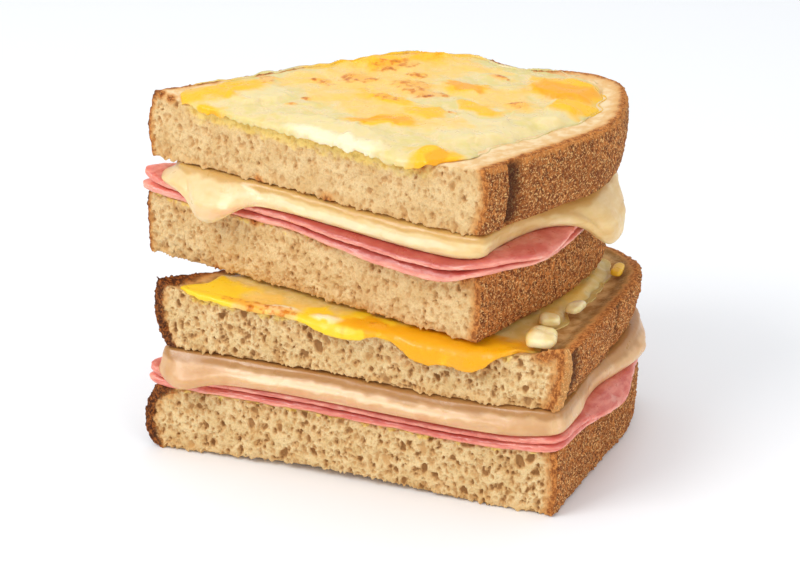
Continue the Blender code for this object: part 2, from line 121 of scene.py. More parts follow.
def tint(red, green, blue):
    """A colour as it shows on a screen, from 0 to 255, made linear."""
    linear = []
    for value in (red, green, blue):
        value = value / 255
        linear.append(value / 12.92 if value <= 0.04045 else ((value + 0.055) / 1.055) ** 2.4)
    return (*linear, 1)


class Link:
    """A value inside a material. Arithmetic on it adds Math nodes."""

    def __init__(self, tree, socket):
        self.tree = tree
        self.socket = socket

    def maths(self, operation, *values):
        """Adds one Math node and gives its result."""
        node = self.tree.nodes.new("ShaderNodeMath")
        node.operation = operation
        for slot, value in zip(node.inputs, values):
            if isinstance(value, Link):
                self.tree.links.new(value.socket, slot)
            else:
                slot.default_value = value
        return Link(self.tree, node.outputs[0])

    def __add__(self, other):
        return self.maths("ADD", self, other)

    def __sub__(self, other):
        return self.maths("SUBTRACT", self, other)

    def __rsub__(self, other):
        return self.maths("SUBTRACT", other, self)

    def __mul__(self, other):
        return self.maths("MULTIPLY", self, other)

    def larger(self, other):
        """The larger of two values."""
        return self.maths("MAXIMUM", self, other)

    __radd__ = __add__
    __rmul__ = __mul__


class Finish:
    """A material with one principled shader. Its numbers that are the same all over are set here."""

    def __init__(self, name, **constants):
        self.material = bpy.data.materials.new(name)
        self.material.use_nodes = True
        self.tree = self.material.node_tree
        self.shader = self.tree.nodes["Principled BSDF"]
        for socket, value in constants.items():
            self.shader.inputs[socket.replace("_", " ").title().replace("Ior", "IOR")].default_value = value
        self.here = self.node("ShaderNodeTexCoord", output="Object")

    def node(self, kind, settings=None, output=None, **sockets):
        """Adds a node: its settings first, then values or links for its sockets."""
        node = self.tree.nodes.new(kind)
        for setting, value in (settings or {}).items():
            setattr(node, setting, value)
        for name, value in sockets.items():
            slot = [s for s in node.inputs if s.enabled and s.name == name.replace("_", " ")][0]
            if isinstance(value, Link):
                self.tree.links.new(value.socket, slot)
            else:
                slot.default_value = value
        outputs = [s for s in node.outputs if s.enabled and (output is None or s.name == output)]
        return Link(self.tree, outputs[0])

    def read(self, attribute):
        """A number that was painted on the piece's points."""
        return self.node("ShaderNodeAttribute", {"attribute_name": attribute}, "Fac")

    def clouds(self, size, detail=3.0, stretch=(1, 1, 1), roughness=0.55):
        """Soft noise from 0 to 1 with features about that many millimetres across."""
        place = self.here
        if stretch != (1, 1, 1):
            shrink = tuple(1 / s for s in stretch)
            place = self.node("ShaderNodeMapping", {"vector_type": "POINT"}, Vector=place, Scale=shrink)
        return self.node("ShaderNodeTexNoise", None, "Fac", Vector=place, Scale=1 / (size * MM),
                         Detail=detail, Roughness=roughness)

    def cells(self, size):
        """How far from the nearest of scattered points, which lie about that many millimetres apart."""
        return self.node("ShaderNodeTexVoronoi", {"feature": "F1"}, "Distance", Vector=self.here,
                         Scale=1 / (size * MM))

    def step(self, value, low, high):
        """Zero below low, one above high and soft between; high may be the lower of the two."""
        low_to, high_to = (0.0, 1.0) if low < high else (1.0, 0.0)
        low, high = sorted((low, high))
        return self.node("ShaderNodeMapRange", {"interpolation_type": "SMOOTHSTEP"}, "Result", Value=value,
                         From_Min=low, From_Max=high, To_Min=low_to, To_Max=high_to)

    def mix(self, factor, first, second):
        """The first colour where the factor is zero and the second where it is one."""
        return self.node("ShaderNodeMix", {"data_type": "RGBA"}, "Result", Factor=factor, A=first, B=second)

    def bump(self, height, distance, strength):
        """Fine relief, that many millimetres high, which only the light sees."""
        return self.node("ShaderNodeBump", None, "Normal", Height=height, Distance=distance * MM,
                         Strength=strength)

    def send(self, socket, link):
        """Leads a value into the shader."""
        self.tree.links.new(link.socket, self.shader.inputs[socket])


def even_skin(node, name, voxel, sharp=False):
    """A piece that stands for a CAD node: its solid merged, smoothed and covered in an even mesh."""
    piece = bpy.data.objects.new(name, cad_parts[node].data.copy())
    bpy.context.scene.collection.objects.link(piece)
    bpy.ops.object.select_all(action="DESELECT")
    piece.select_set(True)
    bpy.context.view_layer.objects.active = piece
    bpy.ops.object.mode_set(mode="EDIT")
    bpy.ops.mesh.select_all(action="SELECT")
    bpy.ops.mesh.remove_doubles(threshold=1e-5)
    bpy.ops.mesh.tris_convert_to_quads(face_threshold=math.radians(30), shape_threshold=math.radians(60))
    bpy.ops.object.mode_set(mode="OBJECT")
    if sharp:
        mesh = bmesh.new()
        mesh.from_mesh(piece.data)
        crease = mesh.edges.layers.float.new("crease_edge")
        for edge in mesh.edges:
            if edge.calc_face_angle(0) > SHARP_EDGE:
                edge[crease] = 0.9
        mesh.to_mesh(piece.data)
        mesh.free()
    rounder = piece.modifiers.new("rounder", "SUBSURF")
    rounder.levels = SUBDIVISIONS
    rounder.render_levels = SUBDIVISIONS
    skin = piece.modifiers.new("skin", "REMESH")
    skin.mode = "VOXEL"
    skin.voxel_size = voxel * MM
    settle = piece.modifiers.new("settle", "SMOOTH")
    settle.factor = 0.5
    settle.iterations = 3
    for modifier in ("rounder", "skin", "settle"):
        bpy.ops.object.modifier_apply(modifier=modifier)
    return piece


def numbers(piece, name):
    """The piece's points or normals as rows."""
    values = np.empty(len(piece.data.vertices) * 3, dtype=np.float32)
    piece.data.vertices.foreach_get(name, values)
    return values.reshape(-1, 3).astype(float)


def in_half(piece, half):
    """The piece's points, in millimetres, and its normals, both in its half's own frame."""
    back_to_half = np.array(half.inverted())
    points = (numbers(piece, "co") @ back_to_half[:3, :3].T + back_to_half[:3, 3]) / MM
    return points, numbers(piece, "normal") @ back_to_half[:3, :3].T


def shift(piece, half, moves):
    """Moves the piece's points by so many millimetres along the axes of its half."""
    turn = np.array(half)[:3, :3]
    moved = numbers(piece, "co") + moves @ turn.T * MM
    piece.data.vertices.foreach_set("co", moved.astype(np.float32).ravel())
    piece.data.update()


def paint(piece, name, values):
    """Keeps a number for each point, which the material reads."""
    attribute = piece.data.attributes.new(name, "FLOAT", "POINT")
    attribute.data.foreach_set("value", np.asarray(values, dtype=np.float32))


def refine(piece, chosen):
    """Splits each of the chosen faces in four."""
    bpy.ops.object.select_all(action="DESELECT")
    piece.select_set(True)
    bpy.context.view_layer.objects.active = piece
    bpy.ops.object.mode_set(mode="EDIT")
    bpy.ops.mesh.select_mode(type="FACE")
    bpy.ops.mesh.select_all(action="DESELECT")
    bpy.ops.object.mode_set(mode="OBJECT")
    piece.data.polygons.foreach_set("select", chosen)
    bpy.ops.object.mode_set(mode="EDIT")
    bpy.ops.mesh.subdivide(number_cuts=1)
    bpy.ops.object.mode_set(mode="OBJECT")


def faces(piece, name):
    """The middles or normals of the piece's faces as rows."""
    values = np.empty(len(piece.data.polygons) * 3, dtype=np.float32)
    piece.data.polygons.foreach_get(name, values)
    return values.reshape(-1, 3).astype(float)


def smooth(values, low=0.0, high=1.0):
    """Zero below low, one above high and soft between."""
    share = np.clip((values - low) / (high - low), 0, 1)
    return share * share * (3 - 2 * share)


def lumps(points, size, seed, octaves=3, stretch=(1, 1, 1)):
    """Fractal noise over the points, between about -1 and 1, its features that many millimetres across."""
    places = points / (np.array(stretch) * size) + seed * 13.7
    return np.array([noise.fractal(place, 0.8, 2.1, octaves) for place in places.tolist()])


def cells(points, size, seed, reach):
    """How deep the points lie in round hollows side by side, about that many millimetres apart."""
    depth = []
    for place in (points / (size, size, 1.3 * size) + seed * 5.3).tolist():
        place = Vector(place)
        place += 0.25 * noise.noise_vector(place * 1.9)
        distances, centres = noise.voronoi(place)
        chance = 0.5 + 0.5 * noise.cell(centres[0] * 37.1)
        radius = reach * (0.55 + 0.7 * chance)
        depth.append(max(1 - (distances[0] / radius) ** 2, 0) * (0.35 + 0.65 * chance))
    return np.array(depth)


def pits(points, chosen, holes, seed):
    """How deep the points lie in the pits, each a place along and up the cut, two sizes and a depth."""
    depth = np.zeros(len(points))
    swing = np.array([noise.noise_vector(place)[:] for place in (points[chosen] / 1.3 + seed).tolist()])
    along = points[chosen, 0] + 0.55 * swing[:, 0]
    up = points[chosen, 2] + 0.55 * swing[:, 2]
    deep = np.zeros(len(chosen))
    for x, z, width, height, bottom, lean in holes:
        near = np.flatnonzero((np.abs(along - x) < width) & (np.abs(up - z) < height))
        across = (along[near] - x - lean * (up[near] - z)) / width * 2
        reach = across ** 2 + ((up[near] - z) / height * 2) ** 2
        deep[near] = np.maximum(deep[near], bottom * smooth(1.15 - reach))
    depth[chosen] = deep
    return depth


def trim(piece, triangles):
    """Brings the piece's mesh down to that many triangles, most of all where it is flat."""
    count = sum(len(p.vertices) - 2 for p in piece.data.polygons)
    if count > triangles:
        bpy.ops.object.select_all(action="DESELECT")
        piece.select_set(True)
        bpy.context.view_layer.objects.active = piece
        thin = piece.modifiers.new("thin", "DECIMATE")
        thin.ratio = triangles / count
        bpy.ops.object.modifier_apply(modifier="thin")


def finish_piece(piece, finish, slot, *nodes):
    """Gives the piece its material and lets it stand for its nodes."""
    piece.data.materials.clear()
    piece.data.materials.append(finish.material)
    piece.data.shade_smooth()
    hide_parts(*nodes)
    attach(piece, "root")


def bread_finish(name, crumb, second_crumb, toasted, toasted_dark, scorched):
    """Crumb in two tints on the cut, toasted faces in two more, a scorched line inside the crust, painted
    shade in pores, creases and crusts, and painted light on the strip before a crease.
    """
    finish = Finish(name, roughness=0.8, subsurface_weight=0.1, subsurface_scale=0.0012,
                    subsurface_radius=(1.0, 0.6, 0.35), specular_ior_level=0.25)
    crust = finish.read("crust")
    pore = finish.read("pore")
    cut = finish.read("cut")
    rind = finish.read("rind")
    soaked = finish.read("soaked")
    burnt = finish.read("burnt")
    depth = crust + (finish.clouds(2.2, 4) - 0.5) * 1.1
    fine = finish.clouds(0.45, 2, roughness=0.7)
    colour = finish.mix(finish.step(finish.clouds(6, 3), 0.35, 0.7), crumb, second_crumb)
    colour = finish.mix(finish.step(fine, 0.52, 0.32) * 0.45, colour, tint(198, 150, 94))
    colour = finish.mix(finish.read("sole") * finish.step(fine, 0.3, 0.6) * 0.55, colour, tint(212, 152, 74))
    # Painted shade in the pores, darkest in the deepest
    colour = finish.mix(finish.step(pore, 0.2, 0.7) * 0.65, colour, tint(200, 147, 86))
    colour = finish.mix(finish.step(pore, 0.65, 1.0) * 0.65, colour, tint(138, 88, 42))
    colour = finish.mix(finish.step(soaked, 0.0, 1.0) * 0.6, colour, tint(246, 214, 104))
    face = 1 - cut.larger(rind)
    mottle = finish.step(finish.clouds(3.2, 4), 0.35, 0.65)
    colour = finish.mix(face, colour, finish.mix(mottle, toasted, toasted_dark))
    grain = finish.clouds(0.9, 4, stretch=(1, 1, 1.5), roughness=0.8)
    ground = finish.step(grain, 0.4, 0.62)
    edge = finish.mix(ground, tint(136, 74, 30), tint(208, 136, 68))
    inner = finish.step(depth, 0.8, 1.3) * finish.step(depth, 2.6, 1.6) * face * finish.read("scorch")
    colour = finish.mix(finish.step(depth, 1.7, 1.0) * 0.7, colour, tint(216, 154, 84))
    colour = finish.mix(finish.step(depth, 1.2, 0.5), colour, edge)
    colour = finish.mix(inner * (0.35 + ground * 0.35), colour, scorched)
    specks = finish.step(finish.clouds(0.6, 2, roughness=0.7), 0.54, 0.61)
    drift = finish.step(finish.clouds(8, 3), 0.4, 0.65)
    shell = finish.mix(finish.step(grain, 0.43, 0.57), tint(106, 52, 21), tint(204, 128, 64))
    shell = finish.mix(drift * 0.4, shell, tint(140, 75, 31))
    # Painted shade that darkens the crust of some slices, evening out how brightly their crusts are lit
    shell = finish.mix(finish.read("crust_shade") * 0.45, shell, tint(102, 50, 22))
    # A paler strip of crust in front of a crease, partly painted light
    shell = finish.mix(finish.read("strip") * 0.6, shell, tint(228, 168, 98))
    shell = finish.mix(specks * 0.8, shell, tint(250, 198, 128))
    rim = finish.step(finish.read("rim") + (grain - 0.5) * 1.6, 0.3, 0.9)
    shell = finish.mix(rim * 0.55, shell, tint(218, 142, 70))
    # Painted shade in the creases of the crust
    shell = finish.mix(finish.step(finish.read("crease_shade"), 0.1, 0.9) * 0.85, shell, tint(66, 32, 14))
    colour = finish.mix(rind, colour, shell)
    char = finish.mix(finish.step(grain, 0.44, 0.62), tint(62, 27, 9), tint(158, 88, 34))
    colour = finish.mix(finish.step(burnt + (grain - 0.5) * 1.2, 0.25, 0.8) * 0.95, colour, char)
    finish.send("Base Color", colour)
    relief = fine * (1 - rind) * 0.7 + (grain + specks * 0.7) * rind
    finish.send("Normal", finish.bump(relief, 0.3, 0.9))
    finish.send("Roughness", 0.74 + finish.step(fine, 0.3, 0.7) * 0.2)
    return finish


def to_walls(piece, walls):
    """How far the piece's points are from the nearest of its chosen faces, in millimetres."""
    tree = KDTree(int(walls.sum()))
    for index, place in enumerate(faces(piece, "center")[walls].tolist()):
        tree.insert(place, index)
    tree.balance()
    return np.array([tree.find(place)[2] for place in numbers(piece, "co").tolist()]) / MM


def facings(piece, half):
    """Which way the piece's faces look, in its half's own frame."""
    return faces(piece, "normal") @ np.array(half)[:3, :3]


def bread_slice(node, half, seed, rough, crust_left, crust_right, creases, pores, char, soak, crust_shade, finish):
    """Dresses one slice of bread.

    rough is how open its crumb is, and crust_left and crust_right are how thick the crust looks on
    the cut. Creases have a place, a width, a depth and how bright the crust in front of them is, a
    paler strip partly made of painted light; painted shade darkens each crease. Pores have a number,
    their smallest and largest width and a depth, and painted shade darkens them. char is how far the
    burnt heel reaches in from the crust and along the cut and how burnt it is, and soak is how far down
    the topping soaked in and from where to where. The last number before the finish is how dark the
    crust is painted, as shade that evens out how brightly the slices' crusts are lit.
    """
    piece = even_skin(node, node.replace("_bread", "_slice"), SLICE_VOXEL, sharp=True)
    refine(piece, np.abs(facings(piece, half)[:, 2]) < UPRIGHT)
    facing = facings(piece, half)
    refine(piece, (np.abs(facing[:, 2]) < UPRIGHT) & (facing[:, 1] < -FRONTWARD))
    facing = facings(piece, half)
    points, normals = in_half(piece, half)
    spread = random.Random(seed)

    # The crust is all of the rim but the cut
    shell = (np.abs(facing[:, 2]) < STEEP) & (facing[:, 1] > -FRONTWARD)
    crust = np.maximum(to_walls(piece, shell) - 0.15, 0)
    cut = smooth(-normals[:, 1], 0.45, 0.8) * smooth(crust, 0.0, 0.4)
    rind = (1 - smooth(crust, 0.1, 0.5)) * (1 - smooth(np.abs(normals[:, 2]), 0.75, 0.95))
    low, high = points[:, 2].min(), points[:, 2].max()
    thick = crust_left + (crust_right - crust_left) * smooth(points[:, 0], 25, 90)
    crumb_only = smooth(crust, 0.5 * thick, 1.2 * thick)

    # Pores in the crumb of the cut: a few large ones, and hollows of three sizes side by side
    chosen = np.flatnonzero(cut > 0.2)
    span = points[chosen, 0].min(), points[chosen, 0].max()
    holes = []
    for count, small, large, bottom in pores:
        for _ in range(count):
            width = small + (large - small) * spread.random() ** 2
            height = width * spread.uniform(0.9, 1.9)
            holes.append((spread.uniform(*span), spread.uniform(low - 1, high + 1), width, height,
                          bottom * spread.uniform(0.6, 1.2), spread.uniform(-0.4, 0.4)))
    hollow = np.zeros(len(points))
    here = points[chosen]
    hollow[chosen] = rough * (0.9 * cells(here, 2.0, seed, 0.55) + 0.8 * cells(here, 1.2, seed + 2, 0.66)
                              + 0.4 * cells(here, 0.7, seed + 4, 0.7))
    pore = (np.maximum(pits(points, chosen, holes, seed), hollow)) * cut * crumb_only
    torn = lumps(points, 2.2, seed, 3, stretch=(1, 1, 1.6))
    coarse = lumps(points, 6, seed + 5, 2)
    grainy = lumps(points, 0.9, seed + 9, 2)
    push = cut * (0.3 * torn + 0.3 * coarse + 0.15 * grainy) * (0.35 + 0.65 * crumb_only) - pore
    push += cut * CRUMB_SWELL
    push += rind * (0.15 * torn + 0.3 * coarse + 0.5 * rough * grainy)
    push += (1 - np.maximum(cut, rind)) * 0.13 * torn

    # Creases where the loaf's crust folded in the tin: sharp on the side of the cut, fading behind, with
    # painted shade in them and a paler strip in front, partly painted light
    crease_shade = np.zeros(len(points))
    strip = np.zeros(len(points))
    for x, y, width, depth, bright in creases:
        gap = np.hypot(points[:, 0] - x, points[:, 1] - y)
        front = points[:, 1] < y
        sunk = np.where(front, 1 - smooth(gap, 0.2, 0.3 * width), 1 - smooth(gap, 0.1, 1.6 * width))
        push -= rind * depth * sunk
        push += rind * CRUMB_SWELL * smooth(y - points[:, 1], 0.3, 1.5) * (points[:, 0] > CREASED_SIDE)
        # Painted shade around each crease
        dark = np.where(front, 1 - smooth(gap, 0.1, 0.9), 1 - smooth(gap, 0.3, 1.8 * width))
        crease_shade = np.maximum(crease_shade, dark)
        # A paler strip of crust in front of the crease, partly painted light
        strip = np.maximum(strip, bright * front * (points[:, 0] > CREASED_SIDE))
    moves = normals * push[:, None]

    # The cut's lower edge is torn ragged
    near_foot = cut * (1 - smooth(points[:, 2] - low, 1.0, 5.0))
    rags = lumps(points * (1, 0, 0) + (0, 0, seed), 2.4, seed + 20, 3)
    moves[:, 2] -= near_foot * np.maximum(rags, -0.2) * 1.1
    if node == "lower_base_bread":
        moves[:, 2] = np.maximum(moves[:, 2], -points[:, 2])
    shift(piece, half, moves)

    wave = lumps(points, 2.5, seed + 40, 3)
    reach, width, strength = char
    burnt = 1 - smooth(crust + 0.25 * reach * wave, 0.5 * reach, 1.4 * reach)
    burnt *= strength * (1 - smooth(points[:, 0] + 3 * coarse + 2 * wave, 0.1 * width, 1.8 * width))
    wet, first, last = soak
    ends = smooth(points[:, 0], first, first + 6) * (1 - smooth(points[:, 0], last - 8, last))
    line = np.interp(points[:, 0], np.linspace(*span, EDGE_PLACES), high_line(points[chosen], span))
    paint(piece, "crust", crust / thick)
    # How deep each point lies in a pore, which the finish darkens with painted shade
    paint(piece, "pore", np.clip(pore / DARK_PORE, 0, 1))
    paint(piece, "cut", cut)
    paint(piece, "rind", rind)
    paint(piece, "crease_shade", crease_shade)
    paint(piece, "strip", strip)
    paint(piece, "scorch", smooth(points[:, 0], SCORCHED_FROM, SCORCHED_FULLY))
    # Painted shade on the crust, stronger on some slices, evening out how brightly their crusts are lit
    paint(piece, "crust_shade", crust_shade * (0.7 + 0.6 * coarse))
    paint(piece, "rim", rind * smooth(points[:, 2] - high + 0.8 * wave, -2.6, -0.6))
    paint(piece, "burnt", burnt)
    paint(piece, "sole", cut * (1 - smooth(points[:, 2] - low + wave, 0.5, 4.0)))
    paint(piece, "soaked", cut * ends * (1 - smooth(line - points[:, 2] + 1.5 * wave, 0.3 * wet, wet)))
    trim(piece, SLICE_TRIANGLES)
    finish_piece(piece, finish, "bread", node)


def high_line(points, span):
    """How high the cut's upper edge is at places spread evenly along it."""
    last = EDGE_PLACES - 1
    place = np.clip(((points[:, 0] - span[0]) / (span[1] - span[0]) * last).round().astype(int), 0, last)
    return [points[place == index, 2].max() for index in range(EDGE_PLACES)]


upper_finish = bread_finish("upper_bread", tint(232, 202, 150), tint(218, 182, 126),
                            tint(238, 214, 172), tint(226, 186, 130), tint(222, 174, 112))
lower_finish = bread_finish("lower_bread", tint(234, 207, 156), tint(218, 184, 128),
                            tint(212, 170, 112), tint(176, 126, 68), tint(116, 78, 32))

FEW_PORES = (34, 0.9, 2.2, 0.8)
MANY_PORES = (90, 0.9, 2.4, 1.0)
LARGE_PORES = (22, 1.8, 3.6, 1.5)
DARK_HEEL = (3.4, 16, 1.0)
THIN_HEEL = (0.5, 10, 0.7)
FRONT_CREASE = (119, 4, 5, 0.9, 0.9)
BACK_CREASE = (122.9, 36, 3, 1.5, 0)
UPPER_CREASE = (107.1, 7.6, 4, 1.8, 0)
bread_slice("lower_base_bread", LOWER, 1, 0.95, 2.8, 2.4, [], [MANY_PORES, LARGE_PORES],
            DARK_HEEL, (0.6, 0, 118), 0.3, lower_finish)
bread_slice("lower_top_bread", LOWER, 2, 0.95, 2.6, 2.6, [FRONT_CREASE, BACK_CREASE],
            [MANY_PORES, LARGE_PORES], DARK_HEEL, (2.0, 10, 110), 0.0, lower_finish)
bread_slice("upper_base_bread", UPPER, 3, 0.75, 1.0, 2.2, [], [FEW_PORES],
            THIN_HEEL, (0.6, 0, 100), 0.0, upper_finish)
bread_slice("upper_top_bread", UPPER, 4, 0.65, 1.2, 2.0, [UPPER_CREASE], [FEW_PORES],
            THIN_HEEL, (5.5, 12, 92), 0.7, upper_finish)

# The ham: two thin slices of boiled ham in each half, moist and pink, hanging a little over the cut
# and further over the crust on the right. Wet, with paler fat and faint fibres across each slice.
HAM_VOXEL = 0.4
HAM_TRIANGLES = 90000


def ham_finish():
    """Moist pink ham with faint fibres, darker patches and paler fat, and painted shade on its upper faces
    where the cheese covers them.
    """
    finish = Finish("ham", roughness=0.3, subsurface_weight=0.4, subsurface_scale=0.0025,
                    subsurface_radius=(1.0, 0.35, 0.25), specular_ior_level=0.6, coat_weight=0.3,
                    coat_roughness=0.15)
    fibres = finish.clouds(1.6, 4, stretch=(3.5, 3.5, 0.6), roughness=0.6)
    patches = finish.clouds(6, 3)
    fat = finish.clouds(2.4, 3, stretch=(2.5, 2.5, 1))
    colour = finish.mix(finish.step(fibres, 0.35, 0.65), tint(216, 108, 92), tint(244, 160, 138))
    colour = finish.mix(finish.step(patches, 0.5, 0.75) * 0.5, colour, tint(190, 80, 68))
    colour = finish.mix(finish.step(fat, 0.6, 0.72) * 0.55, colour, tint(246, 198, 178))
    # Painted shade on the ham's upper faces, where the cheese lies over them
    colour = finish.mix(finish.read("dark") * 0.8, colour, tint(176, 60, 50))
    colour = finish.mix(finish.read("pale") * 0.65, colour, tint(252, 192, 168))
    finish.send("Base Color", colour)
    finish.send("Roughness", 0.24 + finish.step(patches, 0.3, 0.7) * 0.25)
    finish.send("Normal", finish.bump(fibres + finish.clouds(0.7, 2) * 0.5, 0.25, 0.6))
    return finish


def ham_slice(node, half, seed, paleness, finish):
    """Dresses one slice of ham, thinned toward its tips on the left of the cut."""
    piece = even_skin(node, node + "_slice", HAM_VOXEL)
    points, normals = in_half(piece, half)
    edge = smooth(1 - np.abs(normals[:, 2]), 0.3, 0.9)
    tip = 1 - smooth(points[:, 0], -7, 6)
    push = 0.12 + 0.16 * lumps(points, 4, seed, 3) + edge * 0.3 * lumps(points, 1.8, seed + 3, 3)
    moves = normals * push[:, None]
    moves[:, 2] -= 0.55 * tip * normals[:, 2]
    moves[:, 0] -= tip * (0.6 + 3.0 * lumps(points * (0, 1, 0), 3.6, seed + 7, 2))
    moves[:, 2] += 0.3 * lumps(points * (1, 1, 0), 11, seed + 6, 2)
    shift(piece, half, moves)
    top = smooth(normals[:, 2], 0.2, 0.8)
    wave = lumps(points * (1, 1, 0), 9, seed + 8, 2)
    flap = smooth(points[:, 0] + 5 * wave, 100, 108)
    # Painted shade on the upper faces, where the cheese lies over them, weaker on the flap
    paint(piece, "dark", top * smooth(points[:, 0], 10, 40) * (1 - 0.5 * flap))
    paint(piece, "pale", paleness * (1 - top) * (0.75 + 0.5 * wave))
    trim(piece, HAM_TRIANGLES)
    finish_piece(piece, finish, "ham", node)


pink_ham = ham_finish()
ham_slice("lower_ham_base", LOWER, 11, 0.1, pink_ham)
ham_slice("lower_ham_top", LOWER, 12, 0.1, pink_ham)
ham_slice("upper_ham_base", UPPER, 13, 0.8, pink_ham)
ham_slice("upper_ham_top", UPPER, 14, 0.6, pink_ham)

# The cheese between the ham and the bread: pale and melted, thick and soft, bulging out along the cut
# and run out in a tongue on the right. It is glossy and lets light into its edges.
CHEESE_VOXEL = 0.5
CHEESE_TRIANGLES = 150000


def cheese_finish(name, pale, warm, under_bread, highlight):
    """Melted cheese in two tints, painted shade where the bread covers it and a painted highlight in a band
    below that.
    """
    finish = Finish(name, roughness=0.3, subsurface_weight=0.45, subsurface_scale=0.003,
                    subsurface_radius=(1.0, 0.65, 0.25), specular_ior_level=0.5, coat_weight=0.25,
                    coat_roughness=0.2)
    patches = finish.clouds(9, 3)
    streaks = finish.clouds(3, 3, stretch=(3, 3, 0.7))
    colour = finish.mix(finish.step(patches, 0.35, 0.7), pale, warm)
    colour = finish.mix(finish.step(streaks, 0.55, 0.75) * 0.5, colour, tint(222, 178, 108))
    # Painted shade where the cheese goes in under the bread, and on the tongue on the right
    shade_under_bread = finish.step(finish.read("shade_under_bread") + (streaks - 0.5) * 0.8, 0.2, 0.9)
    colour = finish.mix(shade_under_bread * 0.85, colour, under_bread)
    colour = finish.mix(finish.read("blush") * 0.6, colour, tint(220, 140, 104))
    # A painted highlight in a band across the cheese's front
    highlight_band = finish.step(finish.read("highlight_band") + (patches - 0.5) * 1.5, 0.3, 1.0)
    colour = finish.mix(highlight_band * 0.8, colour, highlight)
    finish.send("Base Color", colour)
    finish.send("Roughness", 0.24 + finish.step(patches, 0.3, 0.7) * 0.2)
    finish.send("Normal", finish.bump(finish.clouds(2.5, 3) + finish.clouds(0.5, 2) * 0.12, 0.35, 0.5))
    return finish


def cheese_layer(node, half, seed, finish, wedge, shade, tongue):
    """Dresses one layer. Painted shade darkens it where it goes in under the bread and on the tongue on the
    right, a painted highlight runs in a band below that, and it blushes over the ham.

    wedge is how far its left end runs out at its foot, shade how far down the painted shade reaches and
    tongue how much painted shade lies on the tongue on the right.
    """
    piece = even_skin(node, node + "_layer", CHEESE_VOXEL)
    points, normals = in_half(piece, half)
    edge = smooth(1 - np.abs(normals[:, 2]), 0.3, 0.9)
    push = 0.2 + edge * (0.5 * lumps(points, 9, seed, 2) + 0.25 * lumps(points, 3, seed + 3, 2))
    moves = normals * push[:, None]
    front = points[:, 1] < 1
    end = points[front, 0].min()
    foot = points[front & (points[:, 0] < end + 3), 2].min()
    left_end = 1 - smooth(points[:, 0], end + 1, end + 7)
    moves[:, 0] -= wedge * left_end * (1 - smooth(points[:, 2], foot + 0.5, foot + 4.5))
    shift(piece, half, moves)
    span = points[front, 0].min(), points[front, 0].max()
    roof = np.interp(points[:, 0], np.linspace(*span, EDGE_PLACES), high_line(points[front], span))
    wave = 0.6 * lumps(points, 4, seed + 5, 2)
    drop = roof - points[:, 2] + wave
    # Painted shade under the bread and on the tongue on the right
    shaded = tongue * smooth(points[:, 0] + 4 * wave, 98, 108)
    paint(piece, "shade_under_bread", np.maximum(1 - smooth(drop, 0.6, shade), shaded))
    along = smooth(points[:, 0], 15, 40) * (1 - smooth(points[:, 0], 88, 104))
    # Where the painted highlight lies, in a band below the shade
    paint(piece, "highlight_band", smooth(drop, 1.8, 3.2) * (1 - smooth(drop, 3.4, 5.0)) * (0.1 + 0.9 * along))
    paint(piece, "blush", smooth(drop, 3.8, 6.5) * edge * along)
    trim(piece, CHEESE_TRIANGLES)
    finish_piece(piece, finish, "cheese", node)


pale_cheese = cheese_finish("pale_cheese", tint(236, 212, 162), tint(230, 198, 136), tint(206, 160, 82),
                            tint(242, 222, 182))
# The lower layer is the same cheese, painted darker as shade
shaded_cheese = cheese_finish("shaded_cheese", tint(220, 180, 132), tint(206, 156, 104), tint(172, 120, 60),
                            tint(242, 212, 172))
cheese_layer("lower_cheese", LOWER, 21, shaded_cheese, 1.5, 3.6, 0.0)
cheese_layer("upper_cheese", UPPER, 22, pale_cheese, 5.0, 2.6, 0.5)

# The cheese grated over the slices and melted on them: pale cheese with patches of orange cheddar,
# blistered brown where the grill caught it. On the lower half it has run down the cut in tongues.
MELT_VOXEL = 0.45
MELT_TRIANGLES = 180000

# How thick a topping is, how thin its rim is and how far it has sunk into the bread, in millimetres
MELT = 1.4
MELT_RIM = 0.2
SUNK = 0.5


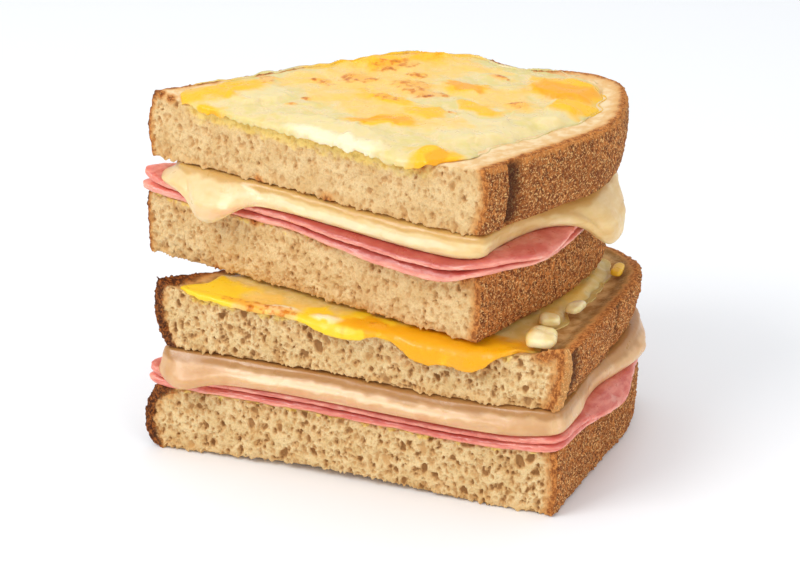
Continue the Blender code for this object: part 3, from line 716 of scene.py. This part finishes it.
def topping_finish(name, pale, greenish, orange, deep):
    """Toasted cheese: pale and greenish, orange and deep orange in patches, blistered where browned."""
    finish = Finish(name, roughness=0.3, subsurface_weight=0.3, subsurface_scale=0.002,
                    subsurface_radius=(1.0, 0.6, 0.2), specular_ior_level=0.3, coat_weight=0.12,
                    coat_roughness=0.12)
    drift = (finish.clouds(5, 4, stretch=(1.5, 1, 1), roughness=0.55) - 0.5) * 1.2
    fine = finish.clouds(1.2, 3)
    clots = finish.clouds(3.5, 4)
    cheddar = finish.read("cheddar") + drift
    colour = finish.mix(finish.step(clots, 0.35, 0.65), pale, greenish)
    colour = finish.mix(finish.read("lobe") * 0.6, colour, tint(232, 214, 162))
    colour = finish.mix(finish.step(finish.read("peach") + drift, 0.1, 1.1) * 0.7, colour, tint(248, 196, 84))
    colour = finish.mix(finish.step(cheddar, 0.05, 0.9), colour, orange)
    colour = finish.mix(finish.step(finish.read("gold") + drift, 0.2, 0.9) * 0.85, colour, deep)
    # The lip: a paler ridge of cheese along the front, its near-white colour partly a painted highlight
    colour = finish.mix(finish.read("lip") * 0.8, colour, tint(250, 240, 206))
    browned = finish.read("browned")
    blisters = finish.cells(2.8) + (finish.clouds(1.6, 4) - 0.5) * 1.6
    caught = finish.step(blisters, 0.55, 0.2) * finish.step(browned + drift * 0.5, 0.1, 0.7)
    colour = finish.mix(finish.step(browned + drift, 0.1, 1.2) * 0.7, colour, tint(242, 170, 50))
    colour = finish.mix(caught * 0.85, colour, tint(212, 120, 6))
    scorched = finish.step(blisters, 0.2, 0.0) * finish.step(browned, 0.3, 0.8)
    colour = finish.mix(scorched * 0.75, colour, tint(156, 78, 6))
    finish.send("Base Color", colour)
    finish.send("Roughness", 0.24 + finish.step(clots, 0.3, 0.7) * 0.2)
    finish.send("Normal", finish.bump(finish.clouds(3.5, 2) + caught * 0.6 + fine * 0.15, 0.4, 0.5))
    return finish


def blots(points, spots, wander, seed, size=6):
    """How much each point belongs to any of the spots, whose outlines wander by so much."""
    flat = points * (1, 1, 0)
    swing = np.stack([lumps(flat, size, seed, 3), lumps(flat, size, seed + 1, 3)], 1)
    places = points[:, :2] + swing * wander
    share = np.zeros(len(points))
    for x, y, long, wide, turn in spots:
        turn = math.radians(turn)
        across = places - (x, y)
        along = across[:, 0] * math.cos(turn) + across[:, 1] * math.sin(turn)
        aside = across[:, 1] * math.cos(turn) - across[:, 0] * math.sin(turn)
        share = np.maximum(share, 1 - smooth(np.hypot(along / long, aside / wide), 0.5, 1.35))
    return share


def topping(node, half, seed, finish, cheddar, gold, peach, browned, lip, lobes, height):
    """Dresses one topping: sunk into the bread, thin at its rim, domed where a lobe of cheese lies.

    height is how strong its waves, domes and ragged edge are.
    """
    piece = even_skin(node, node + "_topping", MELT_VOXEL)
    points, normals = in_half(piece, half)
    rim = to_walls(piece, np.abs(facings(piece, half)[:, 2]) < STEEP)
    inland = smooth(rim, 0, 5)
    up = smooth(normals[:, 2], 0.0, 0.6)
    edge = smooth(1 - np.abs(normals[:, 2]), 0.3, 0.9)
    away = smooth(points[:, 1], 2, 10)
    orange = blots(points, cheddar, 2.5, seed)
    brown = blots(points, browned, 0.8, seed + 4, 2)
    # The lip, a paler ridge whose near-white colour is partly a painted highlight
    white = blots(points, lip, 1.5, seed + 5)
    dome = smooth(blots(points, lobes, 2.0, seed + 6), 0.05, 0.7)
    waves = 0.5 * lumps(points, 8, seed, 2) + 0.2 * lumps(points, 3.2, seed + 9, 2)
    push = up * inland * height * (waves + 0.5 * orange + 0.3 * brown + 0.9 * dome)
    push += up * height * 0.7 * white
    push += edge * (1 - away) * 0.35 * lumps(points, 3.5, seed + 8, 3)
    moves = normals * push[:, None]
    moves[:, 2] -= SUNK + up * (1 - inland) * away * (MELT - MELT_RIM)
    flat = points * (1, 1, 0)
    moves[:, 0] += away * 2.2 * lumps(flat, 9, seed + 11, 2)
    moves[:, 1] += away * 2.2 * lumps(flat, 9, seed + 13, 2)
    ragged = 0.2 + 0.7 * lumps(flat * (1, 0, 0), 5, seed + 15, 3) + white
    moves[:, 1] -= height * (1 - smooth(points[:, 1], 0, 4)) * ragged
    drips = np.maximum(0.3 + lumps(flat * (1, 0, 0), 4, seed + 17, 3), 0)
    moves[:, 2] -= height * (1 - smooth(points[:, 1], -0.5, 1.0)) * (1 - up) * 1.6 * drips
    shift(piece, half, moves)
    paint(piece, "cheddar", orange)
    paint(piece, "gold", blots(points, gold, 3.0, seed + 7))
    paint(piece, "peach", blots(points, peach, 3.0, seed + 2))
    paint(piece, "browned", brown)
    paint(piece, "lip", white)
    paint(piece, "lobe", dome * (1 - orange))
    trim(piece, MELT_TRIANGLES)
    finish_piece(piece, finish, "toasted_cheese", node)


# The places of what shows on each topping: x, y, half length, half width and turn in degrees
UPPER_CHEDDAR = [(19, 10, 16, 7.5, 55), (22, -5, 9, 4.5, 10), (46, 57, 26, 6.5, 44), (74, 48, 8, 4, 0),
                 (97, 60, 14, 9, 20), (105, 52, 8, 6, 60), (89, 1, 8, 6, 0), (67, 14, 11, 4, 20),
                 (84, 36, 6, 3, 0), (58, 29, 9, 4, 0), (72, 25, 7, 3.5, 20)]
UPPER_GOLD = [(74, 48, 7, 3, 0), (98, 58, 11, 6, 20), (66, 14, 9, 3, 20), (22, -5, 8, 3, 10),
              (90, 1, 5, 4, 0), (50, 62, 12, 3, 44)]
UPPER_PEACH = [(63, 22, 28, 9, -5), (50, 50, 24, 13, 40), (68, 64, 10, 5, 0), (80, 45, 14, 7, 0),
               (35, 30, 10, 6, 50), (90, 43, 8, 5, 0), (52, 36, 20, 9, 20)]
UPPER_BROWNED = [(38, 30, 4, 2.4, 10), (45, 38, 6, 3.4, 30), (58, 29, 6, 2.6, 0), (68, 38, 6, 3, 20),
                 (50, 52, 7, 3, 40), (57, 48, 3, 2, 0), (91, 43.5, 4, 1.8, 0), (24, 23, 4, 3, 50),
                 (61, 40, 7, 4, 0), (76, 59, 2.4, 1.6, 0), (41, 18, 1.8, 1.2, 0), (80, 29, 1.8, 1.2, 0),
                 (59, 8, 1.5, 1, 0), (41, 11, 1.5, 1, 0)]
UPPER_LIP = [(55, -1, 9, 2.2, -4), (67, -1, 8, 2.2, 6)]
UPPER_LOBES = [(97, 60, 11, 7, 20), (90, 22, 13, 9, 30), (104, 42, 5, 8, 0), (89, 1, 6, 4, 0),
               (46, 57, 20, 4, 44), (97, 76, 6, 4, 0), (58, 3, 16, 5, 0), (30, 12, 9, 5, 40)]
upper_topping_finish = topping_finish("melted_topping", tint(230, 208, 154), tint(220, 203, 132),
                                      tint(250, 188, 30), tint(240, 162, 8))
topping("upper_melt", UPPER, 31, upper_topping_finish, UPPER_CHEDDAR, UPPER_GOLD, UPPER_PEACH,
        UPPER_BROWNED, UPPER_LIP, UPPER_LOBES, 1.0)

LOWER_CHEDDAR = [(18, 4, 13, 9, 0), (53, -1, 9, 6, 0), (66, 0, 12, 7, 0), (80, 0, 14, 7, 0),
                 (97, 2, 12, 6, 0)]
LOWER_GOLD = [(66, 1, 10, 4, 0), (80, 0, 12, 7, 0), (97, 1, 16, 8, 0)]
LOWER_PEACH = [(36, 2, 12, 5, 0), (110, 8, 8, 8, 0), (106, 45, 6, 20, 0)]
LOWER_BROWNED = [(34, -0.5, 5, 2, 0), (41, -0.5, 5, 1.8, 0), (28, 0, 4, 1.5, 0), (68, 1, 3, 1.5, 0)]
LOWER_LIP = [(40, 0.5, 6, 1.2, 0), (54, -0.5, 4, 1.6, 0)]
lower_topping_finish = topping_finish("run_topping", tint(238, 206, 134), tint(228, 192, 106),
                                      tint(252, 208, 44), tint(238, 162, 6))
topping("lower_melt", LOWER, 32, lower_topping_finish, LOWER_CHEDDAR, LOWER_GOLD, LOWER_PEACH,
        LOWER_BROWNED, LOWER_LIP, [], 0.35)

# Four scraps of the same cheese that set apart from the rest, beside the foot of the upper half.
SCRAP_VOXEL = 0.25
SCRAP_WIDTH = 6
CHEDDAR_SCRAP = 4

scrap_finish = topping_finish("scrap_cheese", tint(250, 236, 190), tint(238, 218, 150),
                              tint(232, 182, 44), tint(222, 160, 20))
for number in range(1, 5):
    node = f"lower_cheese_scrap_{number}"
    scrap = even_skin(node, f"cheese_scrap_{number}", SCRAP_VOXEL)
    points, normals = in_half(scrap, LOWER)
    shift(scrap, LOWER, normals * (0.5 * lumps(points, 5, 40 + number, 2))[:, None])
    side = (points[:, 0].mean() - points[:, 0]) / SCRAP_WIDTH
    is_cheddar = number == CHEDDAR_SCRAP
    # The left side of each pale scrap is painted gold as shade, where it lies under the bread; the fourth
    # scrap is cheddar all over
    paint(scrap, "cheddar", np.full(len(points), 0.9) if is_cheddar else smooth(side, -0.2, 1.0))
    finish_piece(scrap, scrap_finish, "toasted_cheese" if is_cheddar else "cheese", node)

# A plain white floor and soft studio light: a large softbox high on the left and in front, weaker
# ones over the top and low on the right, and a pale sky all round.
# The floor's size is in metres, and the height at which the lamps aim in millimetres
FLOOR_SIZE = 30
AIM_HEIGHT = 50
SKY_STRENGTH = 0.76

bpy.ops.object.select_all(action="DESELECT")
bpy.ops.mesh.primitive_plane_add(size=FLOOR_SIZE)
floor = bpy.context.object
floor.name = "floor"
floor_finish = Finish("floor_white", roughness=0.6, specular_ior_level=0.2)
floor_finish.shader.inputs["Base Color"].default_value = tint(248, 251, 255)
floor.data.materials.append(floor_finish.material)


def softbox(name, place, size, watts, colour):
    """A square area light, its place and size in millimetres, aimed at the middle of the toastie."""
    bpy.ops.object.select_all(action="DESELECT")
    bpy.ops.object.light_add(type="AREA")
    lamp = bpy.context.object
    lamp.name = name
    lamp.location = Vector(place) * MM
    away = Vector(place) - Vector((0, 0, AIM_HEIGHT))
    lamp.rotation_euler = away.to_track_quat("Z", "Y").to_euler()
    lamp.data.size = size * MM
    lamp.data.energy = watts
    lamp.data.color = colour
    lamp.visible_camera = False


softbox("key_softbox", (-420, -520, 760), 420, 3.9, (1, 0.98, 0.95))
softbox("top_softbox", (60, 120, 900), 700, 1.2, (1, 1, 1))
softbox("fill_softbox", (760, -480, 260), 600, 1.7, (1, 0.98, 0.96))
world = bpy.data.worlds.new("studio")
world.use_nodes = True
world.node_tree.nodes["Background"].inputs["Color"].default_value = (1, 1, 1, 1)
world.node_tree.nodes["Background"].inputs["Strength"].default_value = SKY_STRENGTH
bpy.context.scene.world = world
bpy.context.scene.view_settings.view_transform = "Standard"
